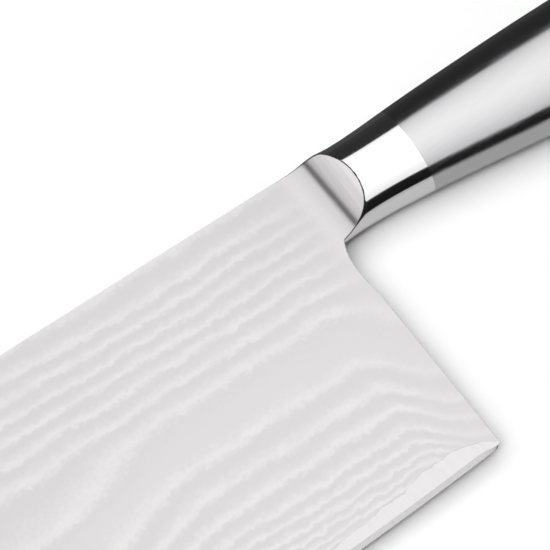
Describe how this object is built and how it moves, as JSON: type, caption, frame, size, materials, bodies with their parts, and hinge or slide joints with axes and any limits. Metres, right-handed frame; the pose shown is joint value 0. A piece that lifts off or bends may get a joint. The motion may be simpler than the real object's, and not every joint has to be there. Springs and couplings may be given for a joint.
{
  "type": "vegetable cleaver",
  "caption": "Tall rectangular kitchen cleaver with a layered-steel blade, hollow-ground polished bolster and hollow satin steel handle, for slicing vegetables.",
  "frame": {"origin": "middle of the footprint of the knife lying on its right side, at the height of the lowest point of the handle", "axes": "+X from the front edge of the blade to the butt of the handle, +Y from the cutting edge to the spine, +Z out of the left face, which lies up"},
  "size_m": [0.313, 0.0858, 0.0196],
  "materials": {
    "core_steel": "fine ground",
    "layered_steel": "etched, wavy layers",
    "polished_steel": "mirror polished",
    "satin_steel": "satin",
    "plain_steel": "turned"
  },
  "bodies": {
    "root": {"cutting_core": "core_steel", "left_cladding": "layered_steel", "right_cladding": "layered_steel", "bolster": "polished_steel", "tang_pin_front": "plain_steel", "tang_pin_rear": "plain_steel", "left_handle_shell": "satin_steel", "right_handle_shell": "satin_steel", "counterweight": "plain_steel", "butt_cap": "satin_steel"}
  },
  "joints": []
}
